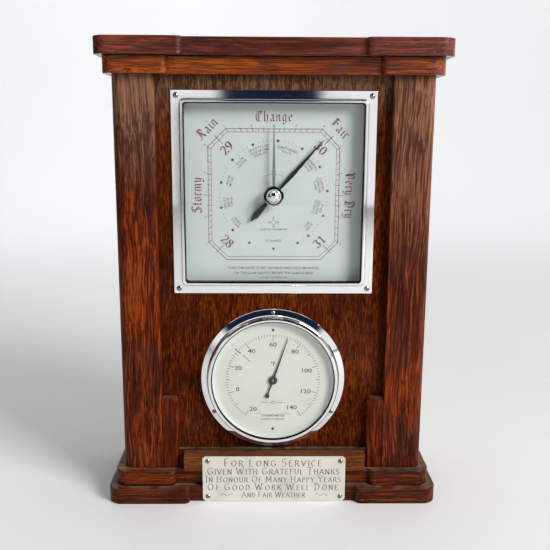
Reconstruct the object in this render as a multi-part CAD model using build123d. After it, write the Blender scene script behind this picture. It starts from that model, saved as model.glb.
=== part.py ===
from build123d import *
import math
import os

# Aneroid barometer and dial thermometer in an oak mantel case.
# Millimetres. X to the right, Y to the back, Z up. The origin is at the middle of the base's underside.

INCH = 25.4

# Case
case_height = 14 * INCH
slab_height = 0.5 * INCH
back_y = 50.0
column_half = 118.7
column_front = -38.7
lower_plinth_half = 130.0
upper_plinth_half = 125.0
lower_cornice_half = 124.5
upper_cornice_half = 129.4
slab_corner_r = 10.5
breakfront_relief = 5.0
breakfront_return_r = 4.6
arris_r = 0.7
column_width = 31.3
column_depth = 22.0
column_edge_r = 8.0
side_board_thickness = 11.0
back_panel_thickness = 6.0
panel_setback = 6.5
panel_thickness = 8.0
stub_width = 13.2
stub_height = 58.6
stub_edge_r = 3.6
stub_joint = 0.4
rail_height = 15.0
rail_thickness = 5.0
strip_left = -70.0
strip_right = 73.0
strip_height = 14.4
strip_overhang = 6.3

# Plaque
plaque_centre_x = 1.1
plaque_width = 113.0
plaque_low = 0.4
plaque_height = 38.0
plaque_thickness = 0.8
plaque_clip = 2.0
plaque_screw_inset = 4.0
plaque_screw_bore_r = 0.85

# Barometer
barometer_z = 243.5
hub_z = 242.2
bezel_size = 6 * INCH
bezel_flange_width = 6.5
bezel_flange_thickness = 1.2
bezel_rim_width = 3.2
bezel_rim_proud = 4.2
bezel_screw_offset = 72.1
glass_half = 67.9
glass_thickness = 1.8
can_half = 69.0
can_wall = 0.8
can_depth = 38.0
dial_setback = 6.0
dial_thickness = 0.6
dial_half = 67.6
dial_pillar_offset = 57.0
bush_flange_r = 7.5
bush_r = 3.0
spindle_r = 1.5
knob_r = 5.5
knob_height = 5.9
set_hand_length = 53.0
pressure_hand_length = 55.5
pressure_hand_tail = 26.0
pressure_hand_widest = 20.0
hand_thickness = 0.4
pressure_hand_angle = 42.0
running_clearance = 0.05

# Movement, from the hub outwards
plate_r = 44.0
plate_thickness = 1.5
capsule_r = 20.5
capsule_height = 8.0
arbor_r = 0.6
drum_r = 1.3
rocker_x = -24.0
rocker_arm = 8.0
rocker_crank = 4.0
crank_half = 0.5
spring_foot_x = 32.0
adjuster_r = 2.0
adjuster_reach = 6.0
adjuster_head_r = 3.2

# Thermometer
thermometer_z = 98.2
thermometer_r = 56.7
thermometer_wall_r = 51.3
thermometer_edge = 1.0
thermometer_slope = 1.35
thermometer_screw_seat = 1.5
thermometer_proud = 8.4
thermometer_lip_r = 47.5
thermometer_glass_r = 48.9
thermometer_dial_r = 47.8
thermometer_flat_r = 42.0
thermometer_can_r = 48.4
thermometer_screw_r = 53.9
thermometer_dial_screw_r = 40.6
pointer_length = 35.2
pointer_tail = 13.6
pointer_angle = 18.9
thermometer_arbor_r = 0.9

panel_front = column_front + panel_setback
panel_back = panel_front + panel_thickness
column_inner = column_half - column_width
column_back = column_front + column_depth
base_top = 2 * slab_height
cornice_bottom = case_height - 2 * slab_height

nodes = {}


def keep(name, shape):
    nodes[name] = shape


def facing(y):
    """A plane at depth y whose normal points to the front, with X right and Z up."""
    return Plane(origin=(0, y, 0), x_dir=(1, 0, 0), z_dir=(0, -1, 0))


def layer(sketch, back, thickness):
    """Extrude a front-view sketch from depth back towards the front."""
    return extrude(facing(back) * sketch, thickness)


def rod(x, z, radius, back, length):
    """A round rod along Y, from depth back towards the front."""
    return layer(Pos(x, z) * Circle(radius), back, length)


def block(x0, x1, y0, y1, z0, z1):
    middle = Pos((x0 + x1) / 2, (y0 + y1) / 2, (z0 + z1) / 2)
    return middle * Box(x1 - x0, y1 - y0, z1 - z0)


def turned(points, z):
    """Turn a closed (radius, depth) outline about the Y axis through height z."""
    outline = make_face(Polyline(*points, close=True))
    return Pos(0, 0, z) * revolve(outline, Axis.Y)


def polar(radius, degrees, z):
    """A front-view point at a clockwise angle from the top of a dial."""
    angle = math.radians(degrees)
    return (radius * math.sin(angle), z + radius * math.cos(angle))


def slotted_screw(x, z, seat, head_r, head_height, shank_r, shank_length, slot_degrees):
    """A round-head screw along Y whose head sits in front of depth seat."""
    dome_r = (head_r**2 + head_height**2) / (2 * head_height)
    ball = Pos(x, seat - head_height + dome_r, z) * Sphere(dome_r)
    head = ball & rod(x, z, head_r, seat, head_height)
    slot = Pos(x, z) * Rot(0, 0, slot_degrees) * Rectangle(3 * head_r, 0.3 * head_r)
    head = head - layer(slot, seat - 0.45 * head_height, head_height)
    return head + rod(x, z, shank_r, seat + shank_length, shank_length)


def spiral_strip(inner_r, pitch, turns, width, start_degrees):
    """A front-view outline of a flat spiral strip."""
    steps = int(turns * 12)
    outer = []
    inner = []
    for i in range(steps + 1):
        part = i / steps
        angle = math.radians(start_degrees + 360 * turns * part)
        radius = inner_r + pitch * turns * part
        outer.append(((radius + width / 2) * math.cos(angle), (radius + width / 2) * math.sin(angle)))
        inner.append(((radius - width / 2) * math.cos(angle), (radius - width / 2) * math.sin(angle)))
    edges = [Spline(*outer), Line(outer[-1], inner[-1]), Spline(*reversed(inner)), Line(inner[0], outer[0])]
    return make_face(edges)


# Case ------------------------------------------------------------------------------------


def breakfront_slab(half, block_inner, low):
    """A slab with rounded front corners whose two end blocks stand proud of its middle."""
    front = column_front - (half - column_half)
    middle = front + breakfront_relief
    points = [
        (-half, back_y),
        (-half, front),
        (-block_inner, front),
        (-block_inner, middle),
        (block_inner, middle),
        (block_inner, front),
        (half, front),
        (half, back_y),
    ]
    outline = make_face(Polyline(*points, close=True))
    at_front = outline.vertices().filter_by_position(Axis.Y, front - 0.1, front + 0.1)
    corners = [v for v in at_front if abs(v.X) > half - 1]
    outline = fillet(corners, slab_corner_r)
    at_front = outline.vertices().filter_by_position(Axis.Y, front - 0.1, front + 0.1)
    returns = [v for v in at_front if abs(v.X) < block_inner + 1]
    outline = fillet(returns, breakfront_return_r)
    slab = extrude(Pos(0, 0, low) * outline, slab_height)
    rims = [e for e in slab.edges() if abs(e.center().Z - low - slab_height / 2) > slab_height / 2 - 0.1]
    rims = [e for e in rims if e.center().Y < back_y - 1]
    return fillet(rims, arris_r)


base_screw_places = [(-103.0, -28.0), (103.0, -28.0), (-113.0, 30.0), (113.0, 30.0)]
base_screw_r = 1.75
base_screw_head_r = 3.8
base_screw_head_height = 3.0
base_screw_recess = 1.0
base_screw_length = 42.0


def base_screw_holes():
    """Bores for the screws that hold the plinths to the uprights from below."""
    bores = Part()
    for x, y in base_screw_places:
        bores += Pos(x, y, base_screw_length / 2) * Cylinder(base_screw_r + 0.05, base_screw_length + 0.4)
    return bores


def make_plinths():
    sinks = Part()
    for x, y in base_screw_places:
        depth = base_screw_recess + base_screw_head_height
        sinks += Pos(x, y, depth / 2) * Cylinder(base_screw_head_r + 0.2, depth)
    keep("lower_plinth", breakfront_slab(lower_plinth_half, 65.6, 0) - base_screw_holes() - sinks)
    keep("upper_plinth", breakfront_slab(upper_plinth_half, 77.0, slab_height) - base_screw_holes())


def make_base_screws():
    screws = []
    for x, y in base_screw_places:
        head_z = base_screw_recess + base_screw_head_height / 2
        head = Pos(x, y, head_z) * Cylinder(base_screw_head_r, base_screw_head_height)
        slot = Pos(x, y, base_screw_recess) * Box(3 * base_screw_head_r, 1.2, 2.4)
        low = base_screw_recess + base_screw_head_height
        shank = Pos(x, y, (low + base_screw_length) / 2) * Cylinder(base_screw_r, base_screw_length - low)
        screws.append(head - slot + shank)
    keep("base_screws", sum(screws[1:], screws[0]))


def make_cornices():
    keep("lower_cornice", breakfront_slab(lower_cornice_half, 77.0, cornice_bottom))
    keep("upper_cornice", breakfront_slab(upper_cornice_half, 65.4, cornice_bottom + slab_height))


def make_uprights():
    points = [
        (-column_half, column_back),
        (-column_half, column_front),
        (-column_inner, column_front),
        (-column_inner, column_back),
    ]
    outline = make_face(Polyline(*points, close=True))
    at_front = outline.vertices().filter_by_position(Axis.Y, column_front - 0.1, column_front + 0.1)
    outline = fillet([v for v in at_front if v.X < -column_half + 1], column_edge_r)
    at_front = outline.vertices().filter_by_position(Axis.Y, column_front - 0.1, column_front + 0.1)
    outline = fillet([v for v in at_front if v.X > -column_inner - 1], arris_r)
    pilaster = extrude(Pos(0, 0, base_top) * outline, cornice_bottom - base_top)
    pilaster = pilaster - base_screw_holes()
    inner = -column_half + side_board_thickness
    board = block(-column_half, inner, column_back, back_y, base_top, cornice_bottom)
    board = board - base_screw_holes()
    keep("left_pilaster", pilaster)
    keep("right_pilaster", mirror(pilaster, Plane.YZ))
    keep("left_side_board", board)
    keep("right_side_board", mirror(board, Plane.YZ))


def make_stub_blocks():
    """Short blocks beside the feet of the pilasters, each with a round inner edge and top corner."""
    inner = column_inner - stub_width
    outer = column_inner - stub_joint
    points = [
        (-outer, base_top),
        (-outer, base_top + stub_height),
        (-inner, base_top + stub_height),
        (-inner, base_top),
    ]
    outline = make_face(Polyline(*points, close=True))
    top = outline.vertices().filter_by_position(Axis.X, -inner - 0.1, -inner + 0.1).sort_by(Axis.Y)[-1]
    outline = fillet([top], stub_edge_r)
    depth = panel_setback - 0.5
    stub = layer(outline, panel_front, depth)
    front = [e for e in stub.edges() if abs(e.center().Y - panel_front + depth) < 0.1]
    front = [e for e in front if e.center().X > -column_inner + 1 and e.center().Z > base_top + 1]
    stub = fillet(front, 2.4)
    keep("left_stub_block", stub)
    keep("right_stub_block", mirror(stub, Plane.YZ))


def bezel_screw_places():
    places = []
    for sx in (-1, 1):
        for sz in (-1, 1):
            places.append((sx * bezel_screw_offset, barometer_z + sz * bezel_screw_offset))
    return places


def thermometer_screw_places():
    return [polar(thermometer_screw_r, angle, thermometer_z) for angle in (0, 120, 240)]


def make_panel():
    height = cornice_bottom - base_top
    outline = Pos(0, base_top + height / 2) * Rectangle(2 * column_inner, height)
    outline -= Pos(0, barometer_z) * RectangleRounded(2 * can_half + 1, 2 * can_half + 1, 4)
    outline -= Pos(0, thermometer_z) * Circle(thermometer_can_r + 0.5)
    for x, z in bezel_screw_places() + thermometer_screw_places():
        outline -= Pos(x, z) * Circle(1.25)
    keep("instrument_panel", layer(outline, panel_back, panel_thickness))


def make_rail_and_strip():
    half = column_inner - stub_width
    rail = block(-half, half, panel_front - rail_thickness, panel_front, base_top, base_top + rail_height)
    arrises = [e for e in rail.edges() if abs(e.center().Z - base_top - rail_height) < 0.1]
    arrises = [e for e in arrises if e.center().Y < panel_front - rail_thickness + 0.1]
    keep("lower_rail", fillet(arrises, 1.2))
    strip_back = panel_front - rail_thickness
    front = column_front - strip_overhang
    strip = block(strip_left, strip_right, front, strip_back, base_top, base_top + strip_height)
    long_edges = [e for e in strip.edges() if e.center().Y < front + 0.1 and e.length > 50]
    strip = fillet(long_edges, 0.6)
    for x, z in plaque_screw_places():
        strip -= rod(x, z, plaque_screw_bore_r, strip_back, strip_back - front)
        nodes["lower_plinth"] -= rod(x, z, plaque_screw_bore_r, front + 8, 8)
    keep("plaque_backing_strip", strip)


def plaque_screw_places():
    places = []
    for sx in (-1, 1):
        x = plaque_centre_x + sx * (plaque_width / 2 - plaque_screw_inset)
        places.append((x, plaque_low + plaque_screw_inset))
        places.append((x, plaque_low + plaque_height - plaque_screw_inset))
    return places


def make_plaque():
    outline = Pos(plaque_centre_x, plaque_low + plaque_height / 2) * Rectangle(plaque_width, plaque_height)
    outline = chamfer(outline.vertices(), plaque_clip)
    for x, z in plaque_screw_places():
        outline -= Pos(x, z) * Circle(plaque_screw_bore_r)
    seat = column_front - strip_overhang
    keep("plaque", layer(outline, seat, plaque_thickness))
    screws = []
    for turn, (x, z) in enumerate(plaque_screw_places()):
        screws.append(slotted_screw(x, z, seat - plaque_thickness, 2.0, 1.0, 0.8, 7.0, 25 + 40 * turn))
    keep("plaque_screws", sum(screws[1:], screws[0]))


back_screw_places = [(sx * 101.0, z) for sx in (-1, 1) for z in (40.0, 130.0, 225.0, 316.0)]
back_screw_length = 15.0
back_screw_head = 1.2
adjuster_access_r = 7.0
vent_r = 3.0


def make_back():
    half = column_half - side_board_thickness
    height = cornice_bottom - base_top
    outline = Pos(0, base_top + height / 2) * Rectangle(2 * half, height)
    outline -= Pos(spring_foot_x, hub_z) * Circle(adjuster_access_r)
    for column in range(5):
        outline -= Pos(16.0 * (column - 2), thermometer_z) * Circle(vent_r)
    for x, z in back_screw_places:
        outline -= Pos(x, z) * Circle(1.25)
    keep("back_panel", layer(outline, back_y, back_panel_thickness))
    screws = []
    for turn, (x, z) in enumerate(back_screw_places):
        nodes["back_panel"] -= rod(x, z, 2.7, back_y, back_screw_head)
        shank = back_screw_length - back_screw_head
        screw = slotted_screw(x, z, 0, 2.6, back_screw_head, 1.2, shank, 35 * turn)
        screws.append(Pos(0, back_y - back_screw_head, 0) * mirror(screw, Plane.XZ))
    keep("back_panel_screws", sum(screws[1:], screws[0]))


front_batten_width = 12.0
rear_batten_width = 14.0
rear_batten_depth = 12.0


def make_battens():
    """Battens glued behind the panel's edges and inside the back, which take the back's screws."""
    inner = -column_inner + front_batten_width
    front_batten = block(-column_inner, inner, panel_back, column_back, base_top, cornice_bottom)
    half = column_half - side_board_thickness
    high_y = back_y - back_panel_thickness
    low_y = high_y - rear_batten_depth
    rear_batten = block(-half, -half + rear_batten_width, low_y, high_y, base_top, cornice_bottom)
    for x, z in back_screw_places[:4]:
        rear_batten -= rod(x, z, 1.25, back_y, back_screw_length + 1)
    battens = front_batten + rear_batten
    keep("left_battens", battens)
    keep("right_battens", mirror(battens, Plane.YZ))


# Barometer --------------------------------------------------------------------------------

glass_back = panel_front
glass_front = glass_back - glass_thickness
dial_front = panel_front + dial_setback
dial_back = dial_front + dial_thickness
can_back = panel_front + can_depth
bush_front = glass_front - 1.0
nut_back = glass_back + 1.0
set_hand_back = nut_back + 0.8
pressure_hand_back = dial_front - 2.4


def lozenge(half_width, widest, tip):
    """A slim blade from the dial's axis that is widest part of the way to its tip."""
    right = [(0.5, 0), (half_width, widest), (0.25, tip)]
    left = [(-x, z) for x, z in reversed(right)]
    return make_face(Polyline(*right, *left, close=True))


def square(half, corner_r=None):
    if corner_r is None:
        return Pos(0, barometer_z) * Rectangle(2 * half, 2 * half)
    return Pos(0, barometer_z) * RectangleRounded(2 * half, 2 * half, corner_r)


def make_barometer_bezel():
    half = bezel_size / 2
    rim_half = half - bezel_flange_width
    opening = rim_half - bezel_rim_width
    flange = layer(square(half, 1.2) - square(opening, 2.2), panel_front, bezel_flange_thickness)
    rim = layer(square(rim_half, 3.4) - square(opening, 2.2), panel_front, bezel_rim_proud)
    rim_front = panel_front - bezel_rim_proud
    rim = fillet([e for e in rim.edges() if abs(e.center().Y - rim_front) < 0.1], 1.3)
    bezel = flange + rim
    bezel -= layer(square(glass_half + 0.2, 2.2), glass_back, glass_thickness)
    for x, z in bezel_screw_places():
        bezel -= rod(x, z, 1.25, panel_front, bezel_flange_thickness)
    rims = [e for e in bezel.edges() if abs(e.center().Y - panel_front + bezel_flange_thickness) < 0.05]
    outer = [e for e in rims if max(abs(e.center().X), abs(e.center().Z - barometer_z)) > half - 0.8]
    keep("barometer_bezel", fillet(outer, 0.5))
    screws = []
    for turn, (x, z) in enumerate(bezel_screw_places()):
        seat = panel_front - bezel_flange_thickness
        screws.append(slotted_screw(x, z, seat, 2.15, 0.9, 1.2, 8.5, 20 + 50 * turn))
    keep("barometer_bezel_screws", sum(screws[1:], screws[0]))


def make_barometer_glass():
    outline = square(glass_half, 2.0) - Pos(0, hub_z) * Circle(bush_r + 0.1)
    glass = layer(outline, glass_back, glass_thickness)
    keep("barometer_glass", glass)
    opening = bezel_size / 2 - bezel_flange_width - bezel_rim_width
    ring = square(can_half - can_wall - 0.1, 3.0) - square(opening, 2.0)
    keep("glass_retainer", layer(ring, glass_back + 1.5, 1.5))


def make_set_hand():
    axis_z = hub_z
    flange = turned([(spindle_r + running_clearance, bush_front), (bush_flange_r - 0.6, bush_front),
                     (bush_flange_r, bush_front + 0.6), (bush_flange_r, glass_front),
                     (bush_r, glass_front), (bush_r, nut_back),
                     (spindle_r + running_clearance, nut_back)], axis_z)
    keep("set_hand_bush", flange)
    nut = Pos(0, axis_z) * (RegularPolygon(5.0, 6) - Circle(bush_r))
    keep("bush_nut", layer(nut, nut_back, nut_back - glass_back))
    knob_back = bush_front - 0.35
    knob_front = knob_back - knob_height
    collar = 1.6
    dome_height = knob_height - collar
    dome_r = (knob_r**2 + dome_height**2) / (2 * dome_height)
    knob = Pos(0, knob_front + dome_r, axis_z) * Sphere(dome_r)
    knob = knob & rod(0, axis_z, knob_r, knob_back, knob_height)
    spindle_front = knob_back - 3.0
    knob -= rod(0, axis_z, spindle_r, knob_back, 3.0)
    keep("set_hand_knob", knob)
    keep("set_hand_spindle", rod(0, axis_z, spindle_r, set_hand_back, set_hand_back - spindle_front))
    hand = lozenge(1.25, 15.0, set_hand_length)
    outline = Pos(0, axis_z) * (hand + Circle(3.4) - Circle(spindle_r))
    keep("set_hand", layer(outline, set_hand_back, 0.5))


def make_dial_and_can():
    dial = square(dial_half, 1.5) - Pos(0, hub_z) * Circle(2.2)
    keep("barometer_dial", layer(dial, dial_back, dial_thickness))
    inner_back = can_back - can_wall
    pillars = []
    for sx in (-1, 1):
        for sz in (-1, 1):
            x = sx * dial_pillar_offset
            z = barometer_z + sz * dial_pillar_offset
            pillars.append(rod(x, z, 2.5, inner_back, inner_back - dial_back))
    keep("dial_pillars", sum(pillars[1:], pillars[0]))
    can = layer(square(can_half, 3.5), can_back, can_depth)
    can -= layer(square(can_half - can_wall, 2.7), inner_back, can_depth - can_wall)
    can -= rod(spring_foot_x, hub_z, 5.0, can_back, can_wall)
    keep("barometer_case", can)


# Movement: depths, from the back plate to the bridge behind the dial
plate_back = can_back - can_wall - 3.0
plate_front = plate_back - plate_thickness
capsule_back = plate_front - 1.5
capsule_front = capsule_back - capsule_height
spring_back = capsule_front - 2.2
spring_front = spring_back - 0.8
chain_y = spring_front - 8.2
rocker_y = chain_y + rocker_arm
lever_back = rocker_y - 4.0
drum_back = chain_y + 1.1
bridge_back = chain_y - 3.2
bridge_front = bridge_back - 1.0
cock_front = chain_y + 3.4
cock_back = cock_front + 1.2
bridge_pillar_z = 31.0
cock_pillar = (20.0, 27.0)


def make_movement_frame():
    plate = Pos(0, hub_z) * Circle(plate_r) - Pos(0, hub_z) * Circle(1.5)
    plate -= Pos(spring_foot_x, hub_z) * Circle(adjuster_r + running_clearance)
    keep("movement_plate", layer(plate, plate_back, plate_thickness))
    feet = [rod(*polar(38.0, angle, hub_z), 3.0, can_back - can_wall, 3.0) for angle in (30, 150, 270)]
    keep("movement_feet", sum(feet[1:], feet[0]))
    outline = RectangleRounded(9, 2 * bridge_pillar_z + 9, 4) - Circle(arbor_r + running_clearance)
    bar = Pos(0, hub_z) * outline
    keep("front_bridge", layer(bar, bridge_back, bridge_back - bridge_front))
    pillars = []
    for sz in (-1, 1):
        pillars.append(rod(0, hub_z + sz * bridge_pillar_z, 2.4, plate_front, plate_front - bridge_back))
    pillars.append(rod(cock_pillar[0], hub_z + cock_pillar[1], 2.4, plate_front, plate_front - cock_back))
    keep("bridge_pillars", sum(pillars[1:], pillars[0]))
    reach = math.hypot(*cock_pillar)
    turn = math.degrees(math.atan2(cock_pillar[1], cock_pillar[0]))
    arm = Pos(0, hub_z) * Rot(0, 0, turn) * Pos(reach / 2, 0) * RectangleRounded(reach + 7, 7, 3)
    arm -= Pos(0, hub_z) * Circle(arbor_r + running_clearance)
    keep("rear_cock", layer(arm, cock_back, cock_back - cock_front))


def make_capsule():
    body = rod(0, hub_z, capsule_r, capsule_back, capsule_height)
    body = fillet(body.edges(), 1.5)
    for radius in (8.0, 12.0, 16.0):
        ring = Pos(0, hub_z) * (Circle(radius + 1.4) - Circle(radius - 1.4))
        body -= layer(ring, capsule_front + 0.8, 0.8)
    keep("aneroid_capsule", body)
    rear = rod(0, hub_z, 1.5, plate_back, plate_back - capsule_back)
    front = rod(0, hub_z, 2.0, capsule_front, capsule_front - spring_back)
    keep("capsule_posts", rear + front)


def make_spring():
    """The flat main spring over the capsule, its foot on the plate, and the long lever on its free end."""
    spring = block(-14.0, spring_foot_x + 3, spring_front, spring_back, hub_z - 6, hub_z + 6)
    keep("main_spring", spring)
    foot = block(spring_foot_x - 3, spring_foot_x + 3, spring_back, plate_front - 1.5, hub_z - 6, hub_z + 6)
    heel = block(spring_foot_x - 3, spring_foot_x + 8, plate_front - 1.5, plate_front, hub_z - 6, hub_z + 6)
    bridge = foot + heel
    bridge -= rod(spring_foot_x, hub_z, adjuster_r + running_clearance, plate_front, adjuster_reach + 0.5)
    keep("spring_bridge", bridge)
    riser = block(-13.0, -9.0, lever_back, spring_front, hub_z + 3.8, hub_z + 5.8)
    lever_end = rocker_x + rocker_crank - 1.5
    lever = block(lever_end, -9.0, lever_back - 1.0, lever_back, hub_z + 3.8, hub_z + 5.8)
    keep("main_lever", lever + riser)
    link_x = rocker_x + rocker_crank - 0.7
    link_length = rocker_y - crank_half - lever_back
    keep("connecting_link", rod(link_x, hub_z + 4.8, 0.4, rocker_y - crank_half, link_length))


def make_rocker():
    """A shaft along Z with a long arm that pulls the chain and a short crank that the lever pushes."""
    shaft = Pos(rocker_x, rocker_y, hub_z) * Cylinder(0.8, 20)
    arm = block(rocker_x - 0.6, rocker_x + 0.6, chain_y - 0.6, rocker_y - 0.4, hub_z + 1.0, hub_z + 2.2)
    hub = Pos(rocker_x, rocker_y, hub_z + 1.6) * Cylinder(1.4, 1.2)
    crank_end = rocker_x + rocker_crank
    low_y = rocker_y - crank_half
    crank = block(rocker_x + 0.4, crank_end, low_y, low_y + 2 * crank_half, hub_z + 4.2, hub_z + 5.4)
    boss = Pos(rocker_x, rocker_y, hub_z + 4.8) * Cylinder(1.4, 1.2)
    keep("rocker_shaft", shaft + arm + hub + crank + boss)
    bracket = block(rocker_x - 6.5, rocker_x + 2, plate_front - 1.2, plate_front, hub_z - 9.8, hub_z + 9.8)
    for side in (-1, 1):
        middle = hub_z + side * 9.2
        lug = block(rocker_x - 2, rocker_x + 2, rocker_y - 2, plate_front - 1.2, middle - 0.6, middle + 0.6)
        bracket += lug
    bracket -= Pos(rocker_x, rocker_y, hub_z) * Cylinder(0.8 + running_clearance, 30)
    keep("rocker_bracket", bracket)


def make_hand_arbor():
    arbor_front = pressure_hand_back - 0.8
    arbor = rod(0, hub_z, arbor_r, cock_back - 0.1, cock_back - 0.1 - arbor_front)
    drum = rod(0, hub_z, drum_r, drum_back, 2.2)
    collet = rod(0, hub_z, 1.4, drum_back + 1.9, 1.0)
    keep("hand_arbor", arbor + drum + collet)
    chain_low = drum_r + 0.05
    chain_high = chain_low + 0.5
    start_x = rocker_x + 0.65
    straight = Pos(start_x / 2, (chain_low + chain_high) / 2) * Rectangle(-start_x, chain_high - chain_low)
    right_side = Pos(chain_high, 0) * Rectangle(2 * chain_high, 4 * chain_high)
    wrap = (Circle(chain_high) - Circle(chain_low)) & right_side
    chain = layer(Pos(0, hub_z) * (straight + wrap), chain_y + 0.3, 0.6)
    keep("drive_chain", chain)
    strip = Pos(0, hub_z) * spiral_strip(1.7, 0.8, 4.0, 0.25, 200)
    keep("hairspring", layer(strip, drum_back + 1.7, 0.6))
    blade = lozenge(1.6, pressure_hand_widest, pressure_hand_length)
    weight = lozenge(2.6, -0.78 * pressure_hand_tail, -pressure_hand_tail)
    outline = blade + weight + Circle(2.6) - Circle(arbor_r)
    outline = Pos(0, hub_z) * Rot(0, 0, -pressure_hand_angle) * outline
    keep("pressure_hand", layer(outline, pressure_hand_back, hand_thickness))


def make_adjusting_screw():
    head_back = can_back + 0.6
    head = rod(spring_foot_x, hub_z, adjuster_head_r, head_back, head_back - plate_back - 1.0)
    slot = Pos(spring_foot_x, hub_z) * Rot(0, 0, 30) * Rectangle(3 * adjuster_head_r, 0.9)
    head -= layer(slot, head_back, 1.2)
    shank_back = plate_back + 1.0
    shank = rod(spring_foot_x, hub_z, adjuster_r, shank_back, shank_back - plate_front + adjuster_reach)
    keep("adjusting_screw", head + shank)


# Thermometer ------------------------------------------------------------------------------

thermo_front = panel_front - thermometer_proud
thermo_glass_front = thermo_front + 1.0
thermo_glass_back = thermo_glass_front + 1.5
thermo_dial_back = panel_front - 3.2
thermo_dial_front = thermo_dial_back - 0.5
thermo_can_back = panel_front + 18.0
pointer_back = thermo_dial_front - 0.9
coil_front = panel_front + 4.0
coil_depth = 4.0


def make_thermometer_bezel():
    wall = thermometer_wall_r
    bore = thermometer_glass_r + 0.1
    points = [
        (bore, panel_front),
        (thermometer_r, panel_front),
        (thermometer_r, panel_front - thermometer_edge + 0.4),
        (thermometer_r - 0.35, panel_front - thermometer_edge),
        (wall + 0.8, panel_front - thermometer_edge - thermometer_slope),
        (wall + 0.2, panel_front - thermometer_edge - thermometer_slope - 0.6),
        (wall, thermo_front + 2.0),
        (wall - 0.25, thermo_front + 1.0),
        (wall - 0.8, thermo_front + 0.3),
        (wall - 1.7, thermo_front),
        (thermometer_lip_r + 0.9, thermo_front),
        (thermometer_lip_r + 0.2, thermo_front + 0.3),
        (thermometer_lip_r, thermo_glass_front),
        (bore, thermo_glass_front),
    ]
    bezel = turned(points, thermometer_z)
    screws = []
    for turn, (x, z) in enumerate(thermometer_screw_places()):
        bezel -= rod(x, z, 1.25, panel_front, thermometer_screw_seat)
        seat = panel_front - thermometer_screw_seat
        bezel -= rod(x, z, 1.75, seat, 3.0)
        screws.append(slotted_screw(x, z, seat, 1.6, 0.8, 1.2, 8.8, 75 + 35 * turn))
    keep("thermometer_bezel", bezel)
    keep("thermometer_bezel_screws", sum(screws[1:], screws[0]))


def make_thermometer_glass_and_dial():
    thickness = thermo_glass_back - thermo_glass_front
    glass = rod(0, thermometer_z, thermometer_glass_r, thermo_glass_back, thickness)
    keep("thermometer_glass", glass)
    rim_front = thermo_glass_back + 0.1
    rise = thermo_dial_front - rim_front
    run = thermometer_dial_r - 0.4 - thermometer_flat_r
    bore_r = thermometer_arbor_r + 0.6
    section = [(bore_r, thermo_dial_front)]
    for i in range(9):
        angle = math.radians(90 * i / 8)
        depth = thermo_dial_front - rise * (1 - math.cos(angle))
        section.append((thermometer_flat_r + run * math.sin(angle), depth))
    section.append((thermometer_dial_r, rim_front))
    section.append((thermometer_dial_r, thermo_dial_back))
    section.append((bore_r, thermo_dial_back))
    dial = turned(section, thermometer_z)
    screws = []
    for turn, side in enumerate((-1, 1)):
        z = thermometer_z + side * thermometer_dial_screw_r
        dial -= rod(0, z, 0.6, thermo_dial_back, 0.5)
        screws.append(slotted_screw(0, z, thermo_dial_front, 1.1, 0.5, 0.6, 3.0, 60 * turn))
    keep("thermometer_dial", dial)
    keep("thermometer_dial_screws", sum(screws[1:], screws[0]))


def make_thermometer_can():
    rim_front = thermo_dial_back
    depth = thermo_can_back - rim_front
    can = rod(0, thermometer_z, thermometer_can_r, thermo_can_back, depth)
    can -= rod(0, thermometer_z, thermometer_can_r - 1.2, thermo_can_back - 0.8, depth - 0.8)
    for side in (-1, 1):
        z = thermometer_z + side * thermometer_dial_screw_r
        post = rod(0, z, 2.5, thermo_can_back - 0.8, depth - 0.8) - rod(0, z, 0.62, rim_front + 3.0, 3.0)
        can += post
    boss_front = thermo_can_back - 6.0
    can += rod(0, thermometer_z, 4.0, thermo_can_back - 0.8, 5.2)
    can -= rod(0, thermometer_z, thermometer_arbor_r + running_clearance, boss_front + 4.0, 4.0)
    keep("thermometer_case", can)


def make_bimetal():
    arbor_back = thermo_can_back - 6.0 + 3.5
    arbor_front = pointer_back - 0.9
    arbor = rod(0, thermometer_z, thermometer_arbor_r, arbor_back, arbor_back - arbor_front)
    keep("thermometer_arbor", arbor)
    inner_r = 2.2
    turns = 5.0
    pitch = 2.4
    outer_r = inner_r + pitch * turns
    strip = Pos(0, thermometer_z) * spiral_strip(inner_r, pitch, turns, 0.6, 0)
    keep("bimetal_coil", layer(strip, coil_front + coil_depth, coil_depth))
    post_back = thermo_can_back - 0.8
    post = rod(outer_r + 1.9, thermometer_z, 1.5, post_back, post_back - coil_front)
    keep("coil_anchor_post", post)
    tip = pointer_length
    ball = Pos(0, -pointer_tail) * Circle(1.7)
    needle = make_face(Polyline((-0.8, 0), (-0.2, tip), (0.2, tip), (0.8, 0), close=True))
    stem = make_face(Polyline((-0.7, 0), (-0.4, -pointer_tail), (0.4, -pointer_tail), (0.7, 0), close=True))
    hub = Circle(3.4)
    outline = needle + stem + ball + hub - Circle(thermometer_arbor_r)
    outline = Pos(0, thermometer_z) * Rot(0, 0, -pointer_angle) * outline
    keep("thermometer_pointer", layer(outline, pointer_back, hand_thickness))


make_plinths()
make_base_screws()
make_cornices()
make_uprights()
make_stub_blocks()
make_panel()
make_rail_and_strip()
make_plaque()
make_back()
make_battens()
make_barometer_bezel()
make_barometer_glass()
make_set_hand()
make_dial_and_can()
make_movement_frame()
make_capsule()
make_spring()
make_rocker()
make_hand_arbor()
make_adjusting_screw()
make_thermometer_bezel()
make_thermometer_glass_and_dial()
make_thermometer_can()
make_bimetal()

os.makedirs("parts", exist_ok=True)
for name, shape in nodes.items():
    export_step(shape, f"parts/{name}.step")
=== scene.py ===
import math

import bpy
from mathutils import Matrix, Vector


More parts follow.
